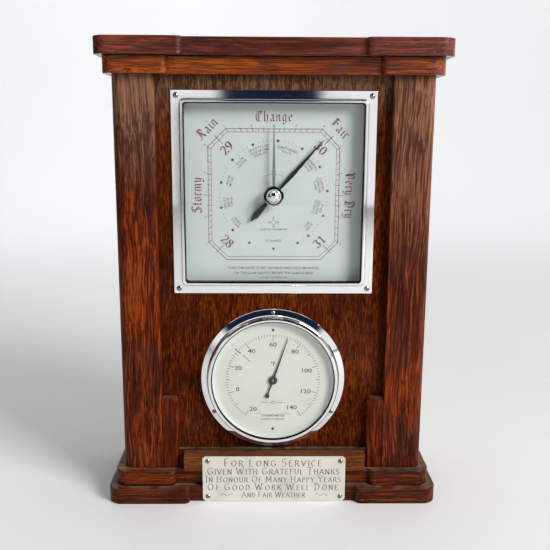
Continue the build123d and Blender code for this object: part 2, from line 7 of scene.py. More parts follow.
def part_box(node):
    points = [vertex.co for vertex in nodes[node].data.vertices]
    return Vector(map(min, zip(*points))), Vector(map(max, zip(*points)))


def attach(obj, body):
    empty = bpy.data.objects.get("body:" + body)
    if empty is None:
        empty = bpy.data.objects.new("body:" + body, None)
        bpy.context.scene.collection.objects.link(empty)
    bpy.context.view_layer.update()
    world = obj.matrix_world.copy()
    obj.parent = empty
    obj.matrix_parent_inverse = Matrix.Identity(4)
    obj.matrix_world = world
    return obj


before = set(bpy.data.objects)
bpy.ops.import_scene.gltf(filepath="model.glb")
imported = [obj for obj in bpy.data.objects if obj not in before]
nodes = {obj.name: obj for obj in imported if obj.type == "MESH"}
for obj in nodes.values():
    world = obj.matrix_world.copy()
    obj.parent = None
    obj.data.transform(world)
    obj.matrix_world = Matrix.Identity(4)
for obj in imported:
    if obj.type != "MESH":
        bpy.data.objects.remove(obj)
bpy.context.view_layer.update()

MM = 0.001


# ---- Node helpers ---------------------------------------------------------------------------


class Tree:
    """A node tree, with short calls that make a node and return its output."""

    def __init__(self, tree):
        self.tree = tree
        tree.nodes.clear()

    def node(self, kind, inputs=None, **settings):
        made = self.tree.nodes.new("ShaderNode" + kind)
        for key, value in settings.items():
            setattr(made, key, value)
        for key, value in (inputs or {}).items():
            if isinstance(value, bpy.types.NodeSocket):
                self.tree.links.new(value, made.inputs[key])
            else:
                made.inputs[key].default_value = value
        return made

    def math(self, operation, a, b=0.0, clamp=False):
        return self.node("Math", {0: a, 1: b}, operation=operation, use_clamp=clamp).outputs[0]

    def mix(self, factor, a, b):
        """Colour a at factor 0 and colour b at 1."""
        return self.node("Mix", {0: factor, 6: a, 7: b}, data_type="RGBA").outputs[2]

    def place(self, scale=(1, 1, 1), rotation=(0, 0, 0), location=(0, 0, 0), vector=None):
        if vector is None:
            vector = self.node("TexCoord").outputs["Object"]
        inputs = {"Vector": vector, "Scale": scale, "Rotation": rotation, "Location": location}
        return self.node("Mapping", inputs).outputs[0]

    def noise(self, vector, scale, detail=3.0, roughness=0.5):
        inputs = {"Vector": vector, "Scale": scale, "Detail": detail, "Roughness": roughness}
        return self.node("TexNoise", inputs).outputs[0]

    def ramp(self, factor, *stops):
        made = self.node("ValToRGB", {"Fac": factor})
        elements = made.color_ramp.elements
        while len(elements) < len(stops):
            elements.new(0.5)
        for element, (position, color) in zip(elements, stops):
            element.position = position
            element.color = color
        return made.outputs[0]

    def window(self, value, low, high):
        """0 at low, 1 at high, and smooth between. low can be the larger of the two."""
        inputs = {"Value": value, "From Min": low, "From Max": high}
        return self.node("MapRange", inputs, interpolation_type="SMOOTHSTEP").outputs[0]

    def vector(self, operation, a, b):
        """A vector sum, whose result is outputs[0], or Value for a dot product."""
        return self.node("VectorMath", {0: a, 1: b}, operation=operation).outputs

    def times(self, a, b):
        return self.math("MULTIPLY", a, b)

    def plus(self, a, b, clamp=False):
        return self.math("ADD", a, b, clamp)

    def place_on(self, axis):
        """The object's own coordinate along an axis, 0 to 2."""
        return self.node("SeparateXYZ", {0: self.node("TexCoord").outputs["Object"]}).outputs[axis]

    def bump(self, height, strength, distance):
        return self.node("Bump", {"Height": height, "Strength": strength, "Distance": distance}).outputs[0]


class Shader(Tree):
    """A material's node tree."""

    def __init__(self, name):
        self.material = bpy.data.materials.new(name)
        self.material.use_nodes = True
        super().__init__(self.material.node_tree)

    def finish(self, surface):
        self.node("OutputMaterial", {0: surface})
        return self.material

    def principled(self, color, rough, **more):
        """Finish with a Principled surface. Names in more have _ for a space."""
        inputs = {"Base Color": color, "Roughness": rough}
        inputs.update({key.replace("_", " "): value for key, value in more.items()})
        return self.finish(self.node("BsdfPrincipled", inputs).outputs[0])


def linear(hex_color):
    """A screen colour such as 8a3a14 as linear red, green, blue and alpha."""
    values = []
    for i in (0, 2, 4):
        c = int(hex_color[i:i + 2], 16) / 255
        values.append(c / 12.92 if c <= 0.04045 else ((c + 0.055) / 1.055) ** 2.4)
    return (*values, 1)


# ---- Wood -----------------------------------------------------------------------------------


PORE_COLOR = "150603"
WORN_AND_HIGHLIGHT_COLOR = "7a4a2c"
PAINTED_SHADE_COLOR = "0c0403"
DUST_COLOR = "7d7766"
PAINTED_HAZE_COLOR = "957a63"
EDGE_RADIUS = 0.9 * MM
CORNER_REACH = 7 * MM
WOOD_RELIEF = 0.12 * MM
GRAIN_TURN = {"X": (0, math.pi / 2, 0), "Z": (0, 0, 0)}


def oak(name, grain, dark, middle, light, seed, band=2.2, run=24.0, wave=1.0, contrast=1.0,
        fleck=0.0, gloss=0.2, shine=0.3, painted_sheen="5d4644", dust=0.6, painted_top_haze=None):
    """Polished wood. band and run are a streak's width and length in mm, along the grain's axis.

    gloss is the polish's reflection and shine is its least roughness. painted_sheen is the colour of a
    painted reflection mottled over the polish.
    painted_top_haze, if given, is the heights in metres where a painted haze of reflected light starts and
    is full, and how strong it is.
    """
    s = Shader(name)
    along = s.place(rotation=GRAIN_TURN[grain], location=(seed, seed * 1.7, seed * 0.6))
    bent = bend(s, along, wave)
    across = 1000 / band
    length = 1000 / run
    rings = s.noise(s.place((across * 0.3, across * 0.3, length * 0.25), vector=bent), 1.0, 3.0, 0.55)
    streaks = s.noise(s.place((across, across, length), vector=bent), 1.0, 3.0, 0.6)
    hair = s.noise(s.place((across * 3.2, across * 3.2, length * 2.2), vector=bent), 1.0, 3.0, 0.6)
    patches = s.noise(along, 14.0, 2.0)
    tone = s.plus(s.times(rings, 0.3), s.times(streaks, 0.5))
    tone = s.plus(tone, s.times(hair, 0.2))
    tone = s.plus(tone, s.times(s.math("SUBTRACT", patches, 0.5), 0.2))
    spread = 0.085 / contrast
    stops = ((0.5 - spread, dark), (0.5, middle), (0.5 + spread, light))
    color = s.ramp(tone, *((position, linear(shade)) for position, shade in stops))
    pore_noise = s.noise(s.place((1500, 1500, 60), vector=bent), 1.0, 2.0, 0.5)
    zones = s.window(rings, 0.42, 0.6)
    pores = s.window(s.plus(pore_noise, s.times(zones, 0.06)), 0.58, 0.66)
    color = s.mix(s.times(pores, 0.75), color, linear(PORE_COLOR))
    if fleck:
        rays = s.noise(s.place((560, 560, 120), rotation=(0.2, 0.35, 0), vector=bent), 1.0, 2.0, 0.55)
        rays = s.window(rays, 0.54, 0.66)
        color = s.mix(s.times(rays, fleck), color, linear(light))
    # Painted reflection: a pale haze mixed in above a height, where the polish would show the bright light
    # above.
    if painted_top_haze:
        low, high, amount = painted_top_haze
        streaked = s.plus(0.25, s.times(s.window(tone, 0.45, 0.55), 0.75))
        top_haze = s.times(s.window(s.place_on(2), low, high), s.times(streaked, amount))
        color = s.mix(top_haze, color, linear(PAINTED_HAZE_COLOR))
    color, settled = weather(s, color, along, dust)
    # Painted reflection: a mottled greyish sheen mixed into the colour.
    film = s.window(s.noise(along, 24.0, 3.0), 0.4, 0.7)
    color = s.mix(s.times(film, 0.08), color, linear(painted_sheen))
    rough = s.plus(shine, s.times(streaks, 0.2))
    rough = s.plus(rough, s.times(pores, 0.25))
    rough = s.plus(rough, s.times(settled, 0.35), clamp=True)
    height = s.math("SUBTRACT", s.times(streaks, 0.35), s.times(pores, 0.8))
    bump = s.bump(height, 0.5, WOOD_RELIEF)
    return s.principled(color, rough, Normal=bump, Specular_IOR_Level=gloss)


def bend(s, along, wave):
    """Coordinates along the grain, wandering slowly and then a little faster."""
    bent = along
    for scale, reach in (((9, 9, 2.2), 0.022), ((38, 38, 15), 0.008)):
        inputs = {"Vector": s.place(scale, vector=along), "Scale": 1.0, "Detail": 2.0}
        warp = s.node("TexNoise", inputs).outputs[1]
        warp = s.vector("SUBTRACT", warp, (0.5, 0.5, 0.5))[0]
        warp = s.node("VectorMath", {0: warp, "Scale": reach * wave}, operation="SCALE").outputs[0]
        bent = s.vector("ADD", bent, warp)[0]
    return bent


def weather(s, color, along, dust):
    """Lighter edges, partly rubbed wear and partly a painted highlight, painted shade in corners and dust
    on faces that look up. Gives the colour and the dust.
    """
    normal = s.node("NewGeometry").outputs["Normal"]
    # Lighter edges, found with the Bevel node: partly rubbed wear and partly a painted highlight along the
    # arrises.
    edge = s.node("Bevel", {"Radius": EDGE_RADIUS}, samples=4).outputs[0]
    turned = s.vector("DOT_PRODUCT", edge, normal)["Value"]
    worn_and_highlit = s.window(s.math("SUBTRACT", 1.0, turned), 0.012, 0.11)
    worn_and_highlit = s.times(worn_and_highlit, s.window(s.noise(along, 160.0, 3.0), 0.4, 0.65))
    color = s.mix(s.times(worn_and_highlit, 0.2), color, linear(WORN_AND_HIGHLIGHT_COLOR))
    hollow = s.node("AmbientOcclusion", {"Distance": CORNER_REACH}, samples=8).outputs["AO"]
    corner = s.window(hollow, 0.8, 0.4)
    up = s.window(s.node("SeparateXYZ", {0: normal}).outputs[2], 0.6, 0.95)
    # Painted shade: near-black mixed into hollows and corners that don't face up, found by ambient
    # occlusion.
    painted_shade = s.times(s.window(hollow, 0.7, 0.3), s.math("SUBTRACT", 1.0, up))
    color = s.mix(s.times(painted_shade, 0.75), color, linear(PAINTED_SHADE_COLOR))
    settled = s.times(up, s.window(s.noise(along, 120.0, 4.0), 0.3, 0.6))
    settled = s.times(settled, s.plus(0.22, s.times(corner, 0.78)))
    settled = s.times(settled, dust)
    return s.mix(settled, color, linear(DUST_COLOR)), settled


# ---- Metals, glass and paint -------------------------------------------------------------


SMEAR_COLOR = "b9b4aa"
PIT_COLOR = "5b554c"
PAINTED_CREVICE_SHADE_COLOR = "14120f"
PAINTED_DARK_REFLECTION_COLOR = "0b0b0e"
SPECK_COLOR = "8a8578"
THIN_INK_COLOR = "8d8580"


def plated(name, color, roughness=0.07, wear=0.0, painted_dark_about=None):
    """Bright plating with fine scratches and smears.

    painted_dark_about is the height in metres of a ring's axis, and the faces that look in at it get
    painted shade and dark reflection.
    """
    s = Shader(name)
    spot = s.place()
    scratches = s.noise(s.place((60, 60, 900), rotation=(0.3, 0.5, 0.9)), 1.0, 3.0, 0.7)
    scratches = s.window(scratches, 0.55, 0.75)
    smear = s.noise(spot, 45.0, 3.0, 0.6)
    pits = s.window(s.noise(spot, 700.0, 2.0, 0.6), 0.66, 0.76)
    pits = s.times(pits, wear)
    rough = s.plus(roughness, s.times(smear, roughness * 0.9))
    rough = s.plus(rough, s.times(scratches, 0.03))
    rough = s.plus(rough, s.times(pits, 0.4), clamp=True)
    # Painted shade: near-black mixed into the plating's crevices, found by ambient occlusion.
    hollow = s.node("AmbientOcclusion", {"Distance": 2.6 * MM}, samples=8).outputs["AO"]
    painted_shade = s.times(s.window(hollow, 0.72, 0.42), 0.9)
    tint = s.mix(s.times(smear, 0.12), linear(color), linear(SMEAR_COLOR))
    tint = s.mix(pits, tint, linear(PIT_COLOR))
    tint = s.mix(painted_shade, tint, linear(PAINTED_CREVICE_SHADE_COLOR))
    # Painted shade and dark reflection on the faces that look in at the ring's axis.
    if painted_dark_about is not None:
        away = s.place(location=(0, 0, -painted_dark_about))
        away = s.vector("MULTIPLY", away, (1, 0, 1))[0]
        away = s.node("VectorMath", {0: away}, operation="NORMALIZE").outputs[0]
        normal = s.node("NewGeometry").outputs["Normal"]
        outward = s.vector("DOT_PRODUCT", away, normal)["Value"]
        tint = s.mix(s.window(outward, -0.16, -0.42), tint, linear(PAINTED_DARK_REFLECTION_COLOR))
    return s.principled(tint, rough, Metallic=1.0, Normal=s.bump(smear, 0.05, 0.2 * MM))


def brushed(name, color, axis, roughness, stain="8f887c"):
    """Plain worked metal with fine lines along one axis and light tarnish."""
    s = Shader(name)
    scale = {"X": (40, 2600, 2600), "Z": (2600, 2600, 40), "Y": (2600, 40, 2600)}[axis]
    lines = s.noise(s.place(scale), 1.0, 3.0, 0.6)
    cloud = s.noise(s.place(), 60.0, 4.0, 0.6)
    tint = s.mix(s.times(s.window(cloud, 0.45, 0.75), 0.4), linear(color), linear(stain))
    rough = s.plus(roughness, s.times(lines, 0.16))
    rough = s.plus(rough, s.times(cloud, 0.1))
    return s.principled(tint, rough, Metallic=1.0, Normal=s.bump(lines, 0.12, 0.03 * MM))


def enamel(name, color, shade, roughness, speck=0.2):
    """A painted surface with faint mottling and tiny specks."""
    s = Shader(name)
    spot = s.place()
    cloud = s.noise(spot, 26.0, 3.0, 0.55)
    specks = s.window(s.noise(spot, 900.0, 2.0, 0.5), 0.7, 0.8)
    tint = s.mix(s.window(cloud, 0.3, 0.7), linear(color), linear(shade))
    tint = s.mix(s.times(specks, speck), tint, linear(SPECK_COLOR))
    rough = s.plus(roughness, s.times(cloud, 0.1))
    return s.principled(tint, rough, Normal=s.bump(s.noise(spot, 1800.0, 2.0), 0.06, 0.02 * MM))


def ink(name, color):
    """Printing ink, a little uneven."""
    s = Shader(name)
    thin = s.noise(s.place(), 520.0, 3.0, 0.6)
    tint = s.mix(s.window(thin, 0.4, 0.75), linear(color), linear(THIN_INK_COLOR))
    return s.principled(tint, 0.55)


def pane(name):
    """Thin clear glass: it reflects by Fresnel and lets everything else straight through."""
    s = Shader(name)
    fresnel = s.node("Fresnel", {"IOR": 1.45}).outputs[0]
    film = s.noise(s.place(), 30.0, 4.0, 0.6)
    rough = s.times(s.window(film, 0.35, 0.8), 0.05)
    mirror = s.node("BsdfGlossy", {"Color": (1, 1, 1, 1), "Roughness": rough}).outputs[0]
    clear = s.node("BsdfTransparent", {"Color": (0.985, 0.995, 0.99, 1)}).outputs[0]
    outside = s.math("SUBTRACT", 1.0, s.node("NewGeometry").outputs["Backfacing"])
    share = s.times(fresnel, outside)
    return s.finish(s.node("MixShader", {0: share, 1: clear, 2: mirror}).outputs[0])


# ---- Flat printing on the dials -------------------------------------------------------------


class Print:
    """Flat marks gathered as polygons in a front view, then made into one thin mesh at a depth."""

    def __init__(self, centre_x, centre_z):
        self.centre = (centre_x, centre_z)
        self.points = []
        self.faces = []

    def polygon(self, points):
        start = len(self.points)
        self.points.extend(points)
        self.faces.append(tuple(range(start, start + len(points))))

    def line(self, a, b, width):
        along = Vector((b[0] - a[0], b[1] - a[1]))
        side = Vector((-along.y, along.x)).normalized() * width / 2
        self.polygon([(a[0] - side.x, a[1] - side.y), (b[0] - side.x, b[1] - side.y),
                      (b[0] + side.x, b[1] + side.y), (a[0] + side.x, a[1] + side.y)])

    def path(self, points, width, closed=False):
        ends = points[1:] + points[:1] if closed else points[1:]
        for a, b in zip(points, ends):
            self.line(a, b, width)

    def arc(self, radius, start, end, width):
        steps = 48
        angles = [start + (end - start) * i / steps for i in range(steps + 1)]
        self.path([at(radius, angle) for angle in angles], width)

    def dot(self, centre, radius, sides=20):
        turn = [2 * math.pi * i / sides for i in range(sides)]
        self.polygon([(centre[0] + radius * math.cos(a), centre[1] + radius * math.sin(a)) for a in turn])

    def nib(self, strokes, origin, size, turn, nib_width, nib_angle):
        """Strokes of a broad pen: each segment is the area that the pen's straight edge sweeps."""
        edge = Vector((math.cos(nib_angle), math.sin(nib_angle))) * nib_width / 2
        spin = Matrix.Rotation(math.radians(-turn), 2)
        for stroke in strokes:
            for a, b in zip(stroke, stroke[1:]):
                a, b = (Vector((p[0] * size, p[1] * size)) for p in (a, b))
                corners = [a - edge, a + edge, b + edge, b - edge]
                area = sum(p.x * q.y - q.x * p.y for p, q in zip(corners, corners[1:] + corners[:1]))
                if area < 0:
                    corners.reverse()
                placed = [spin @ corner for corner in corners]
                self.polygon([(origin[0] + p.x, origin[1] + p.y) for p in placed])

    def text(self, body, place, size, turn=0.0, weight=0.0, width=1.0, spacing=1.0):
        """Words in Blender's own font, centred on a point and turned clockwise."""
        curve = bpy.data.curves.new("words", "FONT")
        curve.body = body
        curve.size = size
        curve.align_x = "CENTER"
        curve.align_y = "CENTER"
        curve.offset = weight
        curve.space_character = spacing
        curve.resolution_u = 3
        holder = bpy.data.objects.new("words", curve)
        bpy.context.scene.collection.objects.link(holder)
        bpy.context.view_layer.update()
        shown = holder.evaluated_get(bpy.context.evaluated_depsgraph_get())
        mesh = bpy.data.meshes.new_from_object(shown)
        spin = Matrix.Rotation(math.radians(-turn), 2)
        start = len(self.points)
        for v in mesh.vertices:
            p = spin @ Vector((v.co.x * width, v.co.y))
            self.points.append((place[0] + p.x, place[1] + p.y))
        for face in mesh.polygons:
            self.faces.append(tuple(start + i for i in face.vertices))
        bpy.data.objects.remove(holder)
        bpy.data.curves.remove(curve)
        bpy.data.meshes.remove(mesh)

    def arc_text(self, body, radius, angle, size, weight):
        """Words that follow a circle, read from inside, centred on an angle."""
        letter_pitch = 0.72
        step = math.degrees(size * letter_pitch / radius)
        for i, letter in enumerate(body):
            turn = angle + (i - (len(body) - 1) / 2) * step
            if letter != " ":
                self.text(letter, at(radius, turn), size, turn, weight)

    def make(self, name, depth, material, body):
        """depth is the printed face's Y in metres."""
        cx, cz = self.centre
        mesh = bpy.data.meshes.new(name)
        verts = [((cx + x) * MM, depth, (cz + z) * MM) for x, z in self.points]
        mesh.from_pydata(verts, [], self.faces)
        mesh.materials.append(material)
        piece = bpy.data.objects.new(name, mesh)
        bpy.context.scene.collection.objects.link(piece)
        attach(piece, body)


def at(radius, degrees):
    """A point at a clockwise angle from the top."""
    angle = math.radians(degrees)
    return (radius * math.sin(angle), radius * math.cos(angle))


def at_from(centre, radius, degrees):
    """The same, about another centre."""
    x, z = at(radius, degrees)
    return (centre[0] + x, centre[1] + z)


def bow(x, y, rx, ry, start, end, steps=10):
    """Points on part of an ellipse, angles anticlockwise from the right."""
    points = []
    for i in range(steps + 1):
        a = math.radians(start + (end - start) * i / steps)
        points.append((x + rx * math.cos(a), y + ry * math.sin(a)))
    return points


# The pen's width as a share of the x-height, and its slope.
BLACKLETTER_PEN = (0.24, math.radians(40))

# Each letter's advance and strokes, with an x-height of 1.
BLACKLETTER = {
    "a": (0.95, [[(0.12, 0.82), (0.34, 1.0), (0.62, 0.84), (0.62, 0.16), (0.78, 0.0), (0.9, 0.12)],
                 [(0.6, 0.55), (0.22, 0.42), (0.18, 0.16), (0.36, 0.0), (0.62, 0.18)]]),
    "e": (0.8, [[(0.6, 0.16), (0.42, 0.0), (0.18, 0.18), (0.18, 0.82), (0.4, 1.0), (0.6, 0.8),
                 (0.56, 0.62), (0.2, 0.46)]]),
    "g": (0.95, [[(0.62, 0.84), (0.4, 1.0), (0.18, 0.82), (0.18, 0.18), (0.36, 0.0), (0.62, 0.18)],
                 [(0.78, 1.02), (0.62, 0.86), (0.62, -0.2), (0.42, -0.44), (0.12, -0.3)]]),
    "h": (0.95, [[(0.08, 1.5), (0.22, 1.62), (0.22, 0.12), (0.34, 0.0)],
                 [(0.24, 0.78), (0.5, 1.0), (0.68, 0.82), (0.68, 0.2), (0.58, -0.12), (0.44, -0.3)]]),
    "i": (0.55, [[(0.08, 0.84), (0.24, 1.0), (0.24, 0.14), (0.36, 0.0), (0.48, 0.12)],
                 [(0.16, 1.38), (0.34, 1.46)]]),
    "m": (1.4, [[(0.06, 0.84), (0.22, 1.0), (0.22, 0.0), (0.32, 0.1)],
                [(0.24, 0.8), (0.48, 1.0), (0.64, 0.84), (0.64, 0.0), (0.74, 0.1)],
                [(0.66, 0.8), (0.9, 1.0), (1.06, 0.84), (1.06, 0.14), (1.18, 0.0), (1.3, 0.12)]]),
    "n": (1.0, [[(0.06, 0.84), (0.22, 1.0), (0.22, 0.0), (0.32, 0.1)],
                [(0.24, 0.8), (0.48, 1.0), (0.64, 0.84), (0.64, 0.14), (0.76, 0.0), (0.88, 0.12)]]),
    "o": (0.85, [[(0.4, 1.0), (0.18, 0.84), (0.18, 0.16), (0.38, 0.0), (0.62, 0.18), (0.62, 0.84),
                  (0.4, 1.0)]]),
    "r": (0.72, [[(0.06, 0.84), (0.22, 1.0), (0.22, 0.12), (0.36, 0.0)],
                 [(0.24, 0.8), (0.42, 1.0), (0.62, 0.86)]]),
    "t": (0.65, [[(0.24, 1.4), (0.22, 0.14), (0.36, 0.0), (0.52, 0.12)],
                 [(0.04, 0.98), (0.5, 0.98)]]),
    "y": (0.95, [[(0.08, 1.0), (0.22, 0.86), (0.22, 0.2), (0.4, 0.0), (0.62, 0.2)],
                 [(0.66, 1.02), (0.62, 0.84), (0.62, -0.16), (0.4, -0.44), (0.12, -0.3)]]),
    "C": (1.3, [[(1.1, 1.36), (0.86, 1.56), (0.4, 1.44), (0.2, 1.1), (0.2, 0.4), (0.42, 0.06), (0.8, 0.0),
                 (1.12, 0.26)],
                [(0.62, 1.42), (0.56, 0.9), (0.62, 0.1)],
                [(0.84, 1.3), (0.92, 1.08)]]),
    "D": (1.4, [[(0.06, 1.3), (0.3, 1.56), (0.72, 1.5), (1.1, 1.16), (1.12, 0.4), (0.82, 0.02),
                 (0.4, 0.0), (0.14, 0.2)],
                [(0.4, 1.5), (0.36, 0.96), (0.4, 0.04)],
                [(0.64, 1.3), (0.64, 0.24)]]),
    "F": (1.25, [[(0.06, 1.3), (0.28, 1.56), (0.66, 1.42), (1.1, 1.58)],
                 [(0.5, 1.44), (0.48, 0.2), (0.3, 0.0)],
                 [(0.3, 1.5), (0.3, 0.3), (0.06, 0.12)],
                 [(0.42, 0.86), (0.72, 0.98), (0.98, 0.8)]]),
    "R": (1.35, [[(0.06, 1.3), (0.28, 1.56), (0.7, 1.5), (0.98, 1.28), (0.9, 0.94), (0.46, 0.82)],
                 [(0.4, 1.48), (0.36, 0.2), (0.16, 0.0), (0.0, 0.14)],
                 [(0.6, 0.82), (0.86, 0.3), (1.04, 0.0), (1.22, 0.14)],
                 [(0.58, 1.3), (0.56, 0.94)]]),
    "S": (1.25, [[(1.06, 1.34), (0.8, 1.56), (0.36, 1.46), (0.2, 1.16), (0.42, 0.9), (0.86, 0.74),
                  (1.04, 0.44), (0.84, 0.08), (0.4, 0.0), (0.08, 0.22)],
                 [(0.56, 1.46), (0.54, 0.98)],
                 [(0.7, 0.7), (0.68, 0.12)]]),
    "V": (1.35, [[(0.06, 1.3), (0.24, 1.54), (0.4, 1.3), (0.4, 0.4), (0.66, 0.0), (1.02, 0.36),
                  (1.04, 1.2), (0.8, 1.5), (0.58, 1.36)],
                 [(0.62, 1.34), (0.62, 0.2)]]),
}

# A wide pen held nearly level gives thick uprights, and a narrow upright one the thin strokes.
NUMERAL_PENS = ((0.19, 0.12), (0.06, 1.6))

# Each numeral's strokes, one unit high.
NUMERALS = {
    "0": [bow(0.32, 0.5, 0.25, 0.5, 90, 450, 24)],
    "1": [[(0.12, 0.82), (0.34, 1.0), (0.34, 0.0)], [(0.14, 0.0), (0.54, 0.0)]],
    "2": [bow(0.32, 0.72, 0.23, 0.28, 170, -40, 12) + [(0.08, 0.0), (0.58, 0.02), (0.6, 0.16)]],
    "3": [bow(0.3, 0.76, 0.22, 0.24, 160, -80, 12), bow(0.3, 0.27, 0.26, 0.27, 84, -165, 14)],
    "8": [bow(0.32, 0.76, 0.2, 0.24, 90, 450, 18), bow(0.32, 0.26, 0.26, 0.27, 90, 450, 20)],
    "9": [bow(0.32, 0.7, 0.24, 0.3, 0, 360, 18), bow(0.06, 0.7, 0.5, 0.7, 0, -72, 12)],
}


def blackletter(sheet, word, place, height, turn):
    """A word centred on a point and turned clockwise about it. height is the letters' x-height."""
    space = 0.62
    middle = 0.62
    pen_width, pen_angle = BLACKLETTER_PEN
    advance = [space if letter == " " else BLACKLETTER[letter][0] for letter in word]
    x = -sum(advance) / 2
    spin = Matrix.Rotation(math.radians(-turn), 2)
    for letter, step in zip(word, advance):
        if letter != " ":
            corner = spin @ Vector((x * height, -middle * height))
            origin = (place[0] + corner.x, place[1] + corner.y)
            sheet.nib(BLACKLETTER[letter][1], origin, height, turn, pen_width * height, pen_angle)
        x += step


def numeral(sheet, digits, place, height, turn):
    """A number centred on a point and turned clockwise about it."""
    spin = Matrix.Rotation(math.radians(-turn), 2)
    pitch = 0.76
    margin = 0.04
    for i, digit in enumerate(digits):
        left = i * pitch - pitch * len(digits) / 2 + margin
        corner = spin @ Vector((left * height, -0.5 * height))
        origin = (place[0] + corner.x, place[1] + corner.y)
        for pen_width, pen_angle in NUMERAL_PENS:
            sheet.nib(NUMERALS[digit], origin, height, turn, pen_width * height, pen_angle)


STEM = [(0.1, 0.0), (0.1, 1.0)]
STEM_AND_BOWL = STEM + bow(0.26, 0.74, 0.28, 0.26, 80, -80, 8) + [(0.1, 0.48)]

# Each engraved capital's advance and strokes, one unit high.
CAPITALS = {
    "A": (0.8, [[(0.02, 0.0), (0.36, 1.0), (0.72, 0.0)], [(0.14, 0.34), (0.58, 0.34)]]),
    "C": (0.78, [bow(0.4, 0.5, 0.34, 0.5, 52, 308, 12)]),
    "D": (0.8, [STEM, [(0.1, 1.0)] + bow(0.26, 0.5, 0.42, 0.5, 80, -80, 10) + [(0.1, 0.0)]]),
    "E": (0.66, [[(0.54, 1.0), (0.1, 1.0), (0.1, 0.0), (0.56, 0.0)], [(0.1, 0.52), (0.46, 0.52)]]),
    "F": (0.62, [[(0.54, 1.0), (0.1, 1.0), (0.1, 0.0)], [(0.1, 0.52), (0.46, 0.52)]]),
    "G": (0.84, [bow(0.42, 0.5, 0.35, 0.5, 52, 330, 12), [(0.5, 0.44), (0.74, 0.44), (0.74, 0.1)]]),
    "H": (0.8, [STEM, [(0.64, 0.0), (0.64, 1.0)], [(0.1, 0.52), (0.64, 0.52)]]),
    "I": (0.3, [[(0.13, 0.0), (0.13, 1.0)]]),
    "K": (0.74, [STEM, [(0.62, 1.0), (0.1, 0.44)], [(0.28, 0.62), (0.68, 0.0)]]),
    "L": (0.6, [[(0.1, 1.0), (0.1, 0.0), (0.54, 0.0)]]),
    "M": (0.96, [[(0.08, 0.0), (0.14, 1.0), (0.46, 0.2), (0.78, 1.0), (0.84, 0.0)]]),
    "N": (0.82, [[(0.1, 0.0), (0.1, 1.0), (0.66, 0.0), (0.66, 1.0)]]),
    "O": (0.88, [bow(0.42, 0.5, 0.36, 0.5, 0, 360, 18)]),
    "P": (0.66, [STEM_AND_BOWL]),
    "R": (0.74, [STEM_AND_BOWL, [(0.32, 0.48), (0.68, 0.0)]]),
    "S": (0.62, [bow(0.3, 0.75, 0.22, 0.25, 40, 250, 8) + bow(0.28, 0.26, 0.24, 0.26, 80, -140, 9)]),
    "T": (0.72, [[(0.02, 1.0), (0.66, 1.0)], [(0.34, 1.0), (0.34, 0.0)]]),
    "U": (0.8, [[(0.1, 1.0), (0.1, 0.3)] + bow(0.37, 0.3, 0.27, 0.3, 180, 360, 8) + [(0.64, 1.0)]]),
    "V": (0.76, [[(0.02, 1.0), (0.36, 0.0), (0.7, 1.0)]]),
    "W": (1.08, [[(0.02, 1.0), (0.28, 0.0), (0.52, 0.86), (0.76, 0.0), (1.02, 1.0)]]),
    "Y": (0.72, [[(0.02, 1.0), (0.34, 0.5), (0.66, 1.0)], [(0.34, 0.5), (0.34, 0.0)]]),
}
CAPITAL_PEN = 0.15
CAPITAL_PEN_ANGLE = math.radians(25)
HAIRLINE_PEN = 0.4 * CAPITAL_PEN
HAIRLINE_PEN_ANGLE = math.radians(115)
SERIF_REACH = 0.09
SERIF_WIDTH = 0.09
UNSERIFED = "EFLCGSO"


def engrave(sheet, words, place, height, spread=1.0):
    """A line of capitals, each word's first letter taller, with short serifs at the feet and heads."""
    first_scale = 1.28
    space = 0.5
    gap = 0.12
    letters = []
    first = True
    for letter in words:
        letters.append((letter, first_scale if first else 1.0))
        first = letter == " "
    advance = [space if c == " " else (CAPITALS[c][0] + gap) * k for c, k in letters]
    x = -sum(advance) * spread / 2
    for (letter, k), step in zip(letters, advance):
        if letter != " ":
            size = height * k
            origin = (place[0] + x * height, place[1] - height / 2)
            strokes = CAPITALS[letter][1]
            sheet.nib(strokes, origin, size, 0, CAPITAL_PEN * height, CAPITAL_PEN_ANGLE)
            sheet.nib(strokes, origin, size, 0, HAIRLINE_PEN * height, HAIRLINE_PEN_ANGLE)
            if letter not in UNSERIFED:
                serifs(sheet, strokes, origin, size)
        x += step * spread


def serifs(sheet, strokes, origin, size):
    """A short level line at each stroke's end that is at the letter's foot or head."""
    for stroke in strokes:
        for px, py in (stroke[0], stroke[-1]):
            if py in (0.0, 1.0):
                a = (origin[0] + (px - SERIF_REACH) * size, origin[1] + py * size)
                b = (origin[0] + (px + SERIF_REACH) * size, origin[1] + py * size)
                sheet.line(a, b, SERIF_WIDTH * size)


# ---- The finishes ---------------------------------------------------------------------------

PRINT_LIFT = 0.03 * MM


def paint(material, *names):
    """Give CAD nodes a material in place of their own."""
    for name in names:
        mesh = nodes[name].data
        mesh.materials.clear()
        mesh.materials.append(material)


pilaster_oak = dict(grain="Z", dark="240801", middle="5a1c02", light="983f05", band=1.35, run=34,
                    wave=1.2, contrast=0.95, gloss=0.09, shine=0.24)
side_oak = dict(grain="Z", dark="220a02", middle="441804", light="6e300a", band=2.0, run=30, gloss=0.12)
stub_oak = dict(grain="Z", dark="3a0f01", middle="601f02", light="7e3103", band=1.4, run=22, wave=0.8,
                gloss=0.05)
panel_oak = dict(grain="Z", dark="2e0d01", middle="4b1802", light="733304", band=1.1, run=7, wave=0.8,
                 fleck=0.3, gloss=0.03, dust=0.8)
slab_oak = dict(grain="X", band=1.2, run=60, wave=0.8, contrast=0.75)
plinth_oak = dict(slab_oak, gloss=0.12, shine=0.2, dust=0.9)
back_birch = dict(grain="Z", dark="6b4a2c", middle="8a6540", light="a98355", band=4.0, run=60,
                  gloss=0.2, painted_sheen="8c7a62")

